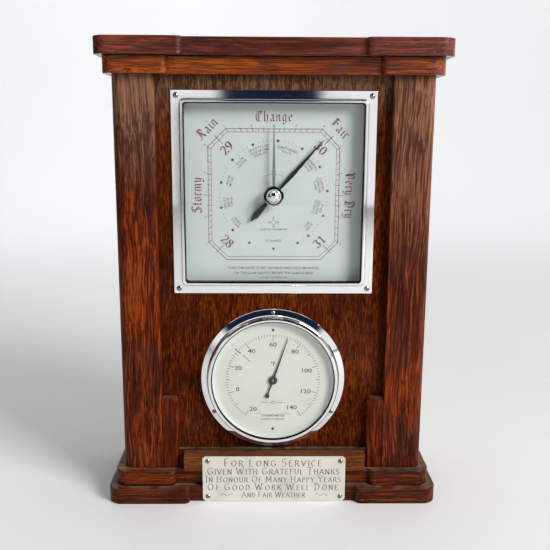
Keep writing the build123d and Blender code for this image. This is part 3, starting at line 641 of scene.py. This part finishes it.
paint(oak("oak_left_pilaster", seed=0.31, painted_top_haze=(0.235, 0.3, 0.56), **pilaster_oak), "left_pilaster")
paint(oak("oak_right_pilaster", seed=0.77, painted_top_haze=(0.15, 0.31, 0.44), **pilaster_oak), "right_pilaster")
paint(oak("oak_left_side", seed=1.9, **side_oak), "left_side_board")
paint(oak("oak_right_side", seed=2.1, **side_oak), "right_side_board")
paint(oak("oak_stubs", seed=2.3, **stub_oak), "left_stub_block", "right_stub_block")
paint(oak("oak_panel", seed=3.1, painted_top_haze=(0.285, 0.34, 0.55), **panel_oak), "instrument_panel")
paint(oak("oak_cornice_top", dark="260a06", middle="581f13", light="8a3d25", seed=4.2, gloss=0.36,
          shine=0.1, **slab_oak), "upper_cornice")
paint(oak("oak_cornice_low", dark="301003", middle="772f04", light="b0540a", seed=5.7, gloss=0.3,
          shine=0.12, **slab_oak), "lower_cornice")
paint(oak("oak_plinth_top", dark="260902", middle="521b02", light="8f3d03", seed=6.4, **plinth_oak),
      "upper_plinth")
paint(oak("oak_plinth_low", dark="240902", middle="4e1a02", light="833704", seed=7.9, **plinth_oak),
      "lower_plinth")
paint(oak("oak_rail", dark="1c0802", middle="381303", light="5a2605", seed=8.6, gloss=0.08, dust=0.9,
          **slab_oak), "lower_rail")
paint(oak("oak_strip", dark="4a2005", middle="6a3409", light="8c4f12", seed=9.3, gloss=0.12,
          **slab_oak), "plaque_backing_strip")
paint(oak("birch_back", seed=10.4, **back_birch), "back_panel", "left_battens", "right_battens")

for bezel in ("barometer_bezel", "thermometer_bezel"):
    low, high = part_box(bezel)
    paint(plated(bezel + "_chrome", "f1f1f3", 0.03, painted_dark_about=(low.z + high.z) / 2), bezel)
# The screws' plating is a darker grey with pits: partly worn plating and partly painted shade round their
# heads.
paint(plated("worn_and_shaded_chrome", "98948d", 0.14, wear=0.8), "barometer_bezel_screws",
      "thermometer_bezel_screws", "plaque_screws")
paint(plated("knob_chrome", "e9e9ea", 0.03), "set_hand_knob", "set_hand_bush")
paint(brushed("steel", "9c9da0", "Y", 0.28), "back_panel_screws", "base_screws", "dial_pillars",
      "movement_feet", "bridge_pillars", "main_spring", "rocker_shaft", "drive_chain", "hairspring",
      "hand_arbor", "adjusting_screw", "connecting_link", "bush_nut", "thermometer_arbor")
paint(brushed("brass", "c39a4e", "X", 0.26), "movement_plate", "front_bridge", "rear_cock", "capsule_posts",
      "spring_bridge", "main_lever", "rocker_bracket", "coil_anchor_post", "set_hand_spindle")
paint(brushed("nickel_silver", "b9b6a8", "Z", 0.3), "aneroid_capsule")
paint(brushed("bimetal_strip", "b08a52", "Y", 0.35), "bimetal_coil")
paint(brushed("can_metal", "8d8f90", "Z", 0.42, stain="6d675c"), "barometer_case", "thermometer_case")
paint(pane("dial_glass"), "barometer_glass", "thermometer_glass")
paint(enamel("barometer_dial_face", "d3d9d7", "ced5d3", 0.34), "barometer_dial")
paint(enamel("thermometer_dial_face", "e2e2d9", "dcddd2", 0.36), "thermometer_dial")
paint(enamel("black_lacquer", "0d1213", "14191a", 0.3, speck=0.05), "pressure_hand", "thermometer_pointer",
      "thermometer_dial_screws", "glass_retainer")
paint(brushed("pale_hand", "8fa29d", "Z", 0.3, stain="6f827d"), "set_hand")
paint(brushed("silver_plate", "f2eee5", "X", 0.42, stain="c9c3b7"), "plaque")

black_ink = ink("black_ink", "1f1e20")
red_ink = ink("red_ink", "8e2f33")
grey_ink = ink("grey_ink", "6f6f6c")
engraving_ink = ink("engraving_fill", "4c4742")


# ---- Barometer dial ---------------------------------------------------------------------------

SCALE_HALF = 49.6
SCALE_CUT = 13.4
SCALE_BAND = 2.4
DEGREES_PER_INCH = 90
STEPS_PER_INCH = 20
NUMERAL_RADIUS = 50.0
NUMERAL_HEIGHT = 6.6
WORD_HEIGHT = 4.8
TOP_WORD = 58.2
SIDE_WORD = 57.9
CORNER_WORD = 49.6
FORECAST_RADIUS = 35.0
FORECAST_HEIGHT = 2.5
FORECAST_PITCH = 2.6
DOT_RADIUS = 41.0
DOT_SIZE = 1.05
DOT_STEP = 26.95
MIDDLE_DOT = 4.3
STAR_PLACE = (0, -20.6)
THIN_LINE = 0.3
TICK_LINE = 0.42
dial_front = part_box("barometer_dial")[0].y - PRINT_LIFT
hub_low, hub_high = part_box("hand_arbor")
hub_z = (hub_low.z + hub_high.z) / 2 / MM


def octagon_reach(degrees, inset=0.0):
    """How far the octagonal scale line is from the hub at an angle."""
    half = SCALE_HALF - inset
    diagonal = 2 * SCALE_HALF - SCALE_CUT - inset * math.sqrt(2)
    a = math.radians(degrees)
    s, c = abs(math.sin(a)), abs(math.cos(a))
    return min(half / max(s, 1e-6), half / max(c, 1e-6), diagonal / (s + c))


def octagon(inset):
    """The corners of the scale line, or of one further in."""
    half = SCALE_HALF - inset
    corner = 2 * SCALE_HALF - SCALE_CUT - inset * math.sqrt(2) - half
    quarter = [(corner, half), (half, corner)]
    points = []
    for turn in range(4):
        for x, z in quarter:
            for _ in range(turn):
                x, z = z, -x
            points.append((x, z))
    return points


def inch_scale(sheet):
    """The double octagon from 28 to 31 inches, with its ticks, tenths, numerals and words."""
    sheet.path(octagon(0), 0.5, closed=True)
    sheet.path(octagon(SCALE_BAND), 0.34, closed=True)
    for step in range(-30, 31):
        angle = step * DEGREES_PER_INCH / STEPS_PER_INCH
        inner = octagon_reach(angle, SCALE_BAND)
        outer = octagon_reach(angle)
        tenth = step % 2 == 0
        end = outer + 1.0 if tenth else outer
        sheet.line(at(inner, angle), at(end, angle), TICK_LINE if tenth else THIN_LINE)
        if step % 4 == 0:
            digit = str((step // 2 + 15) % 10)
            sheet.text(digit, at(outer + 2.4, angle), 2.3, angle, 0.03)
    for inch, angle in ((28, -135), (29, -45), (30, 45), (31, 135)):
        upright = angle if abs(angle) < 90 else angle - 180
        numeral(sheet, str(inch), at(NUMERAL_RADIUS, angle), NUMERAL_HEIGHT, upright)
        sheet.line(at(54.2, angle), at(63.0, angle), 0.5)
    words = (
        ("Change", (0, TOP_WORD), 0), ("Rain", (-CORNER_WORD, CORNER_WORD), -45),
        ("Fair", (CORNER_WORD, CORNER_WORD), 45), ("Stormy", (-SIDE_WORD, 0), -90),
        ("Very Dry", (SIDE_WORD - 0.5, 0), 90),
    )
    for word, place, turn in words:
        blackletter(sheet, word, place, WORD_HEIGHT, turn)


def forecast_ring(black, red, grey):
    """Small forecasts round the hub, red and grey by turns, and the ring of dots outside them."""
    forecasts = (
        (-17.9, ("UNSETTLED", "CLEARING", "COOLER")), (16.5, ("CONTINUED", "RAIN")),
        (50.3, ("SHOWERS", "THEN", "FAIR")), (76.7, ("CLOUDY", "TURNING", "FINE")),
        (105.2, ("FINE", "COLDER", "NIGHTS")), (131.5, ("FINE", "DRY")),
        (-45.2, ("RAIN", "LATER")), (-72.0, ("RAIN", "MILD")),
        (-99.0, ("GALES", "RAIN", "COLD")), (-126.0, ("GALES", "SNOW")), (180.0, ("SQUALLS",)),
    )
    for number, (angle, lines) in enumerate(forecasts):
        for row, words in enumerate(lines):
            radius = FORECAST_RADIUS + (len(lines) - 1) * FORECAST_PITCH / 2 - row * FORECAST_PITCH
            sheet = red if (row + number) % 2 else grey
            sheet.arc_text(words, radius, angle, FORECAST_HEIGHT, 0.05)
    for k in range(-5, 6):
        angle = MIDDLE_DOT + DOT_STEP * k
        sheet = red if k > 0 else black
        sheet.dot(at(DOT_RADIUS, angle), DOT_SIZE)
        for part in (0.25, 0.42, 0.58, 0.75):
            between = angle + DOT_STEP * part
            grey.line(at(DOT_RADIUS - 0.6, between), at(DOT_RADIUS + 0.6, between), THIN_LINE)
    for angle in (153.0, 180.0, 207.0):
        red.dot(at(DOT_RADIUS, angle), 1.0)


def barometer_scale():
    black = Print(0, hub_z)
    red = Print(0, hub_z)
    grey = Print(0, hub_z)
    inch_scale(red)
    forecast_ring(black, red, grey)
    grey.arc(16.0, -28, 28, 0.25)
    grey.arc_text("SET", 17.6, 0, 1.9, 0.02)
    star = [at_from(STAR_PLACE, 4.4 if i % 2 == 0 else 1.3, 45 * i) for i in range(8)]
    grey.path(star, 0.35, closed=True)
    grey.text("ANEROID BAROMETER", (0, -26.2), 1.9, weight=0.04, spacing=1.1)
    red.text("TURN THE KNOB TO SET THE PALE HAND EACH MORNING", (0, -56.2), 2.6, weight=0.03)
    black.text("TAP THE GLASS LIGHTLY BEFORE THE SCALE IS READ", (0, -60.1), 2.6, weight=0.03)
    grey.text("INCHES OF MERCURY", (0, -63.9), 1.9, weight=0.02, spacing=1.2)
    red.make("barometer_print_red", dial_front, red_ink, "case")
    black.make("barometer_print_black", dial_front, black_ink, "case")
    grey.make("barometer_print_grey", dial_front, grey_ink, "case")


barometer_scale()


# ---- Thermometer dial -------------------------------------------------------------------------

DEGREES_PER_F = 286 / 160
thermo_low, thermo_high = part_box("thermometer_arbor")
thermo_z = (thermo_low.z + thermo_high.z) / 2 / MM
DIAL_PLATE_THICKNESS = 0.5 * MM
thermo_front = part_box("thermometer_dial")[1].y - DIAL_PLATE_THICKNESS - PRINT_LIFT
TICK_END = 37.2
FREEZING_ANGLE = -49.3
ORNAMENT_HEIGHT = -18.6


def thermometer_scale():
    black = Print(0, thermo_z)
    grey = Print(0, thermo_z)
    for f in range(-20, 141, 2):
        angle = (f - 60) * DEGREES_PER_F
        tick_start = 32.0 if f % 20 == 0 else 34.0 if f % 10 == 0 else 35.3
        black.line(at(tick_start, angle), at(TICK_END, angle), TICK_LINE if f % 10 == 0 else 0.36)
    for f in range(-20, 141, 20):
        angle = (f - 60) * DEGREES_PER_F
        radius = 27.2 if f >= 100 else 28.8
        lean = 1.03 if f < 0 or f > 60 else 0.985
        black.text(str(abs(f)), at(radius, angle * lean), 4.6, weight=0.06, width=1.3)
    black.text("°F", (0, 13.2), 4.2, weight=0.07)
    for start, end in ((23.0, 31.2), (34.0, 38.4)):
        black.line(at(start, FREEZING_ANGLE), at(end, FREEZING_ANGLE), 0.4)
    for radius in (34.0, 38.4):
        black.dot(at(radius, FREEZING_ANGLE), 0.75, 4)
    for side in (-1, 1):
        black.line((side * 2.8, ORNAMENT_HEIGHT), (side * 9.6, ORNAMENT_HEIGHT), THIN_LINE)
    lozenge = [(-1.7, 0), (0, 1), (1.7, 0), (0, -1)]
    black.path([(x, ORNAMENT_HEIGHT + z) for x, z in lozenge], THIN_LINE, closed=True)
    grey.text("THERMOMETER", (0, -29.6), 2.5, weight=0.05, spacing=1.08)
    for side in (-1, 1):
        grey.line((side * 9.4, -27.6), (side * 13.4, -27.6), THIN_LINE)
    grey.text("DEGREES FAHRENHEIT", (0, -32.6), 1.9, weight=0.03)
    black.make("thermometer_print_black", thermo_front, black_ink, "case")
    grey.make("thermometer_print_grey", thermo_front, grey_ink, "case")


thermometer_scale()


# ---- Plaque -----------------------------------------------------------------------------------


def plaque_engraving():
    low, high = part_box("plaque")
    sheet = Print((low.x + high.x) / 2 / MM, (low.z + high.z) / 2 / MM)
    engrave(sheet, "FOR LONG SERVICE", (0, 13.2), 4.9, spread=1.22)
    engrave(sheet, "GIVEN WITH GRATEFUL THANKS", (0, 6.0), 4.5, spread=1.07)
    engrave(sheet, "IN HONOUR OF MANY HAPPY YEARS", (0, -0.8), 4.1, spread=1.06)
    engrave(sheet, "OF GOOD WORK WELL DONE", (0, -7.4), 4.3, spread=1.22)
    engrave(sheet, "AND FAIR WEATHER", (0, -14.0), 3.7)
    curl_start = 33
    curl_height = -13.6
    for side in (-1, 1):
        steps = [i * 0.5 for i in range(15)]
        curl = [(side * (curl_start + 1.4 * t), curl_height + 0.9 * math.sin(t * 1.6)) for t in steps]
        sheet.path(curl, THIN_LINE)
    sheet.make("plaque_engraving", low.y - PRINT_LIFT, engraving_ink, "case")


plaque_engraving()


# ---- Stage, light and camera ----------------------------------------------------------------


FLOOR_HALF_WIDTH = 2.2
FLOOR_FRONT = -2.4
FLOOR_BACK = 1.3
FLOOR_CURVE = 0.9
FLOOR_TOP = 2.6


def make_floor():
    """A pale sheet that runs back and curves up behind the object."""
    steps = 16
    rows = [(FLOOR_FRONT, 0.0), (FLOOR_BACK, 0.0)]
    for i in range(1, steps + 1):
        a = math.radians(90 * i / steps)
        rows.append((FLOOR_BACK + FLOOR_CURVE * math.sin(a), FLOOR_CURVE * (1 - math.cos(a))))
    rows.append((FLOOR_BACK + FLOOR_CURVE, FLOOR_TOP))
    verts = []
    for y, z in rows:
        verts.append((-FLOOR_HALF_WIDTH, y, z))
        verts.append((FLOOR_HALF_WIDTH, y, z))
    faces = [(2 * i, 2 * i + 1, 2 * i + 3, 2 * i + 2) for i in range(len(rows) - 1)]
    mesh = bpy.data.meshes.new("floor")
    mesh.from_pydata(verts, [], faces)
    for face in mesh.polygons:
        face.use_smooth = True
    mesh.materials.append(make_paper())
    floor = bpy.data.objects.new("floor", mesh)
    bpy.context.scene.collection.objects.link(floor)


def make_paper():
    """Off-white, glowing more towards the back and a little towards the left."""
    s = Shader("paper")
    tone = s.mix(s.noise(s.place(), 3.0, 2.0), linear("e4e4e3"), linear("dfdfde"))
    back_glow = s.times(s.window(s.place_on(1), 0.1, 1.9), 0.42)
    left_glow = s.times(s.window(s.place_on(0), 0.35, -0.35), 0.1)
    glow = s.plus(back_glow, left_glow)
    return s.principled(tone, 0.8, Specular_IOR_Level=0.1, Emission_Color=(0.94, 0.97, 1.0, 1),
                        Emission_Strength=glow)


def area_light(name, place, target, side, power, color=(1, 1, 1)):
    """A square lamp at a place, facing a target. Its side is in metres and its power in watts."""
    data = bpy.data.lights.new(name, "AREA")
    data.shape = "SQUARE"
    data.size = side
    data.energy = power
    data.color = color
    lamp = bpy.data.objects.new(name, data)
    lamp.location = place
    lamp.rotation_euler = (Vector(target) - Vector(place)).to_track_quat("-Z", "Y").to_euler()
    bpy.context.scene.collection.objects.link(lamp)


WORLD_STRENGTH = 0.95
ROOM_STRENGTH = 0.21
STUDIO_WHITE = (0.98, 0.98, 0.98, 1)
ROOM_DARK = (0.012, 0.016, 0.04, 1)


def make_world():
    """Soft white all round, with the darker things that plated parts and polish reflect.

    The camera sees no dark areas, and matt surfaces get the lower strength of the room.
    """
    world = bpy.data.worlds.new("studio")
    bpy.context.scene.world = world
    world.use_nodes = True
    w = Tree(world.node_tree)
    x, y, z = w.node("SeparateXYZ", {0: w.node("TexCoord").outputs["Generated"]}).outputs

    def inside(*ranges):
        """1 inside every (coordinate, low, high) range and 0 outside, with soft edges."""
        whole = 1.0
        for coordinate, low, high in ranges:
            soft = 0.012 + 0.1 * (high - low)
            for edge, beyond in ((low, low - soft), (high, high + soft)):
                whole = w.times(whole, w.window(coordinate, beyond, edge))
        return whole

    in_front = w.window(y, -0.2, -0.35)
    stripe = inside((x, -0.05, 0.066), (z, 0.0, 0.34))
    lens = inside((x, -0.1, 0.1), (z, -0.2, 0.02))
    ceiling = inside((x, -0.5, 0.58), (z, 0.19, 0.8))
    left = inside((x, -1.5, -0.62), (z, -0.6, 0.5))
    ahead = w.math("MAXIMUM", w.math("MAXIMUM", stripe, lens), ceiling)
    dark = w.math("MAXIMUM", w.times(in_front, ahead), left)
    rays = w.node("LightPath").outputs
    dark = w.times(dark, w.math("SUBTRACT", 1.0, rays["Is Camera Ray"]))
    color = w.mix(dark, STUDIO_WHITE, ROOM_DARK)
    lower = w.times(rays["Is Diffuse Ray"], WORLD_STRENGTH - ROOM_STRENGTH)
    strength = w.math("SUBTRACT", WORLD_STRENGTH, lower)
    background = w.node("Background", {"Color": color, "Strength": strength}).outputs[0]
    w.node("OutputWorld", {0: background})


CAMERA_TURNS = (11.12, 0.88, 0.31)      # degrees down, to the right and of roll
CAMERA_LEFT = 0.0071
CAMERA_HEIGHT = 0.2888
CAMERA_DISTANCE = 0.5387                # in front of the pilasters
LENS = 47.3
SENSOR_WIDTH = 36


def make_camera():
    """A little above the object, looking down at it from just left of centre."""
    pitch, yaw, roll = (math.radians(a) for a in CAMERA_TURNS)
    pilaster_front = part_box("left_pilaster")[0].y
    forward = Vector((math.sin(yaw) * math.cos(pitch), math.cos(yaw) * math.cos(pitch), -math.sin(pitch)))
    level = Vector((math.cos(yaw), -math.sin(yaw), 0))
    upright = level.cross(forward)
    right = math.cos(roll) * level + math.sin(roll) * upright
    up = math.cos(roll) * upright - math.sin(roll) * level
    data = bpy.data.cameras.new("camera")
    data.lens = LENS
    data.sensor_width = SENSOR_WIDTH
    data.clip_start = 0.02
    data.clip_end = 20
    camera = bpy.data.objects.new("camera", data)
    turn = Matrix((right, up, -forward)).transposed().to_4x4()
    place = Matrix.Translation((-CAMERA_LEFT, pilaster_front - CAMERA_DISTANCE, CAMERA_HEIGHT))
    camera.matrix_world = place @ turn
    bpy.context.scene.collection.objects.link(camera)
    bpy.context.scene.camera = camera


make_floor()
area_light("key", (1.3, -1.1, 1.15), (0, 0, 0.2), 0.8, 42)
area_light("fill", (-1.5, -1.1, 0.9), (0, 0, 0.2), 1.0, 1.5, (0.94, 0.97, 1.0))
area_light("top", (0.1, 0.2, 2.0), (0, 0, 0.1), 1.2, 9)
make_world()
make_camera()
bpy.context.scene.view_settings.view_transform = "Standard"
